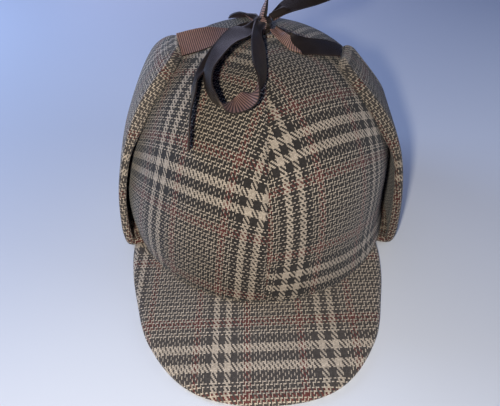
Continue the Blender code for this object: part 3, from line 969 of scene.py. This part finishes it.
def knot(name, finishes):
    """The bow's knot: a ball whose radius swells and dips in slanting folds, on a sine wave, with a deeper
    fold round it, on a bell curve.  A slanting band down its front shows the ribbed face."""
    low, high = np.array(KNOT_LOW), np.array(KNOT_HIGH)
    turns = np.linspace(0.0, 2.0 * np.pi, KNOT_ROUND, endpoint=False)
    turn, height = np.meshgrid(turns, np.linspace(-np.pi / 2.0, np.pi / 2.0, KNOT_UP))
    fold_height, count, slant = KNOT_FOLDS
    folds = fold_height * np.sin(count * turn + slant * height) * np.cos(height)
    depth, sway, sway_start, half_width = KNOT_WAIST
    waist = depth * np.exp(-(((height - sway * np.sin(turn + sway_start)) / half_width) ** 2))
    size = KNOT_SIZE + folds + waist
    ball = np.stack((
        np.cos(height) * np.cos(turn), np.cos(height) * np.sin(turn), np.sin(height)
    ), axis=-1) * size[..., None]
    points = ((low + high) / 2.0 + ball * (high - low) / 2.0).reshape(-1, 3)
    places = np.stack((height * KNOT_RADIUS, turn * KNOT_RADIUS), axis=-1).reshape(-1, 2)
    faces = quads(KNOT_ROUND, KNOT_UP, 0, closed=True)
    place, slant, half_width = KNOT_BAND
    in_band = np.abs(turn - place - slant * height) < half_width
    return make_piece(name + "_wrap", points, faces, places, finishes, in_band.ravel()[faces[:, 0]])


def dress(piece, node):
    """A piece stands for its CAD node, which it hides, and rides on the hat."""
    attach(piece, "root")
    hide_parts(node)


class HAT_OT_crown(Operator):
    """Make the four panels of the crown"""

    bl_idname = "hat.crown"
    bl_label = "Crown"

    def execute(self, context):
        cloth, sewing = context.scene.hat_cloth, context.scene.hat_sewing
        finish = plaid("crown_plaid", cloth)
        for name in PANELS:
            dress(crown_panel(name, cloth, sewing, finish), name)
        return {"FINISHED"}


class HAT_OT_peaks(Operator):
    """Make the front and the back peak"""

    bl_idname = "hat.peaks"
    bl_label = "Peaks"

    def execute(self, context):
        cloth, sewing = context.scene.hat_cloth, context.scene.hat_sewing
        # The peaks' plaid is painted paler than the crown's: painted light.
        finish = plaid("peak_plaid", cloth, cloth.peak_painted_light, cloth.peak_fade)
        for name in PEAKS:
            dress(peak(name, cloth, sewing, finish), name)
        return {"FINISHED"}


class HAT_OT_ear_flaps(Operator):
    """Make the two ear flaps"""

    bl_idname = "hat.ear_flaps"
    bl_label = "Ear flaps"

    def execute(self, context):
        cloth = context.scene.hat_cloth
        # The left flap's plaid is painted paler with painted light, the right flap's darker with painted
        # shade.
        for name, gain in zip(FLAP_ROWS, cloth.flap_painted_light):
            finish = plaid(name + "_plaid", cloth, gain, cloth.flap_fade)
            dress(ear_flap(name, cloth, finish), name)
        return {"FINISHED"}


class HAT_OT_ribbons(Operator):
    """Make the straps, the loops and the tails of the bow"""

    bl_idname = "hat.ribbons"
    bl_label = "Ribbons"

    def execute(self, context):
        ribbon = context.scene.hat_ribbon
        finishes = [satin("ribbon_satin_face", ribbon), ribbed("ribbon_ribbed_face", ribbon)]
        for name, (rests_on, length) in RIBBONS.items():
            piece = ribbon_strip(name, ribbon, finishes)
            dress(piece, name)
        return {"FINISHED"}


class HAT_OT_knot(Operator):
    """Make the bow's knot"""

    bl_idname = "hat.knot"
    bl_label = "Knot"

    def execute(self, context):
        ribbon = context.scene.hat_ribbon
        finishes = [satin("knot_satin_face", ribbon), ribbed("knot_ribbed_face", ribbon)]
        dress(knot("bow_knot", finishes), "bow_knot")
        return {"FINISHED"}


def area_light(name, power, colour, size, place, target):
    """A square light at a place, facing a target."""
    data = bpy.data.lights.new(name, "AREA")
    data.energy = power
    data.color = colour
    data.size = size
    light = bpy.data.objects.new(name, data)
    light.location = place
    light.rotation_euler = (Vector(target) - Vector(place)).to_track_quat("-Z", "Y").to_euler()
    light.visible_camera = False
    bpy.context.scene.collection.objects.link(light)


def add_camera():
    """The photograph's camera, turned about its line of sight by the roll."""
    back = Vector((
        math.sin(CAMERA_AZIMUTH) * math.cos(CAMERA_ELEVATION),
        -math.cos(CAMERA_AZIMUTH) * math.cos(CAMERA_ELEVATION),
        math.sin(CAMERA_ELEVATION),
    ))
    right = (-back).cross(Vector((0.0, 0.0, 1.0))).normalized()
    up = right.cross(-back)
    rolled_right = right * math.cos(CAMERA_ROLL) + up * math.sin(CAMERA_ROLL)
    rolled_up = up * math.cos(CAMERA_ROLL) - right * math.sin(CAMERA_ROLL)
    data = bpy.data.cameras.new("camera")
    data.sensor_width = 36.0
    data.lens = CAMERA_FOCAL_PIXELS / IMAGE_WIDTH * data.sensor_width
    data.clip_start = 0.01
    camera = bpy.data.objects.new("camera", data)
    bpy.context.scene.collection.objects.link(camera)
    pose = Matrix((rolled_right, rolled_up, back)).transposed().to_4x4()
    pose.translation = Vector(CAMERA_AIM) + back * CAMERA_DISTANCE
    camera.matrix_world = pose
    bpy.context.scene.camera = camera


class HAT_OT_stage(Operator):
    """Make the floor, the lights and the camera"""

    bl_idname = "hat.stage"
    bl_label = "Stage"

    def execute(self, context):
        stage = context.scene.hat_stage
        shader = Shader("stage_floor")
        shader.put(shader.surface.inputs["Base Color"], rgba(stage.floor))
        shader.set(Roughness=0.55, Specular_IOR_Level=0.3)
        mesh = bpy.data.meshes.new("floor")
        signs = ((-1, -1), (1, -1), (1, 1), (-1, 1))
        corners = [(x * FLOOR_REACH, y * FLOOR_REACH, 0.0) for x, y in signs]
        mesh.from_pydata(corners, [], [(0, 1, 2, 3)])
        mesh.materials.append(shader.material)
        floor = bpy.data.objects.new("floor", mesh)
        context.scene.collection.objects.link(floor)
        world = bpy.data.worlds.new("surroundings")
        world.use_nodes = True
        sky = world.node_tree.nodes["Background"]
        sky.inputs["Color"].default_value = rgba(stage.sky)
        sky.inputs["Strength"].default_value = stage.sky_strength
        context.scene.world = world
        for name, (colour, size, place, target) in LIGHTS.items():
            area_light(name, getattr(stage, name + "_power"), colour, size, place, target)
        context.scene.view_settings.view_transform = "Standard"
        add_camera()
        return {"FINISHED"}


class HAT_PT_sidebar(Panel):
    """The hat's sizes and its steps"""

    bl_idname = "HAT_PT_sidebar"
    bl_label = "Deerstalker hat"
    bl_space_type = "VIEW_3D"
    bl_region_type = "UI"
    bl_category = "Hat"

    def draw(self, context):
        for step in STEPS:
            self.layout.operator(step.bl_idname)
        for group in GROUPS:
            settings = getattr(context.scene, group)
            self.layout.separator()
            for key in settings.__annotations__:
                self.layout.prop(settings, key)


GROUPS = {"hat_cloth": HatCloth, "hat_sewing": HatSewing, "hat_ribbon": HatRibbon, "hat_stage": HatStage}
STEPS = (HAT_OT_stage, HAT_OT_crown, HAT_OT_peaks, HAT_OT_ear_flaps, HAT_OT_ribbons, HAT_OT_knot)


def register():
    """Tell Blender about the groups, the steps and the panel."""
    for group in GROUPS.values():
        bpy.utils.register_class(group)
    for step in STEPS:
        bpy.utils.register_class(step)
    bpy.utils.register_class(HAT_PT_sidebar)
    for name, group in GROUPS.items():
        setattr(bpy.types.Scene, name, PointerProperty(type=group))


def unregister():
    """Undo that, in the opposite order."""
    for name in GROUPS:
        delattr(bpy.types.Scene, name)
    bpy.utils.unregister_class(HAT_PT_sidebar)
    for step in reversed(STEPS):
        bpy.utils.unregister_class(step)
    for group in reversed(list(GROUPS.values())):
        bpy.utils.unregister_class(group)


def main():
    """Take the steps in order."""
    register()
    bpy.ops.hat.stage()
    bpy.ops.hat.crown()
    bpy.ops.hat.peaks()
    bpy.ops.hat.ear_flaps()
    bpy.ops.hat.ribbons()
    bpy.ops.hat.knot()


if __name__ == "__main__":
    main()
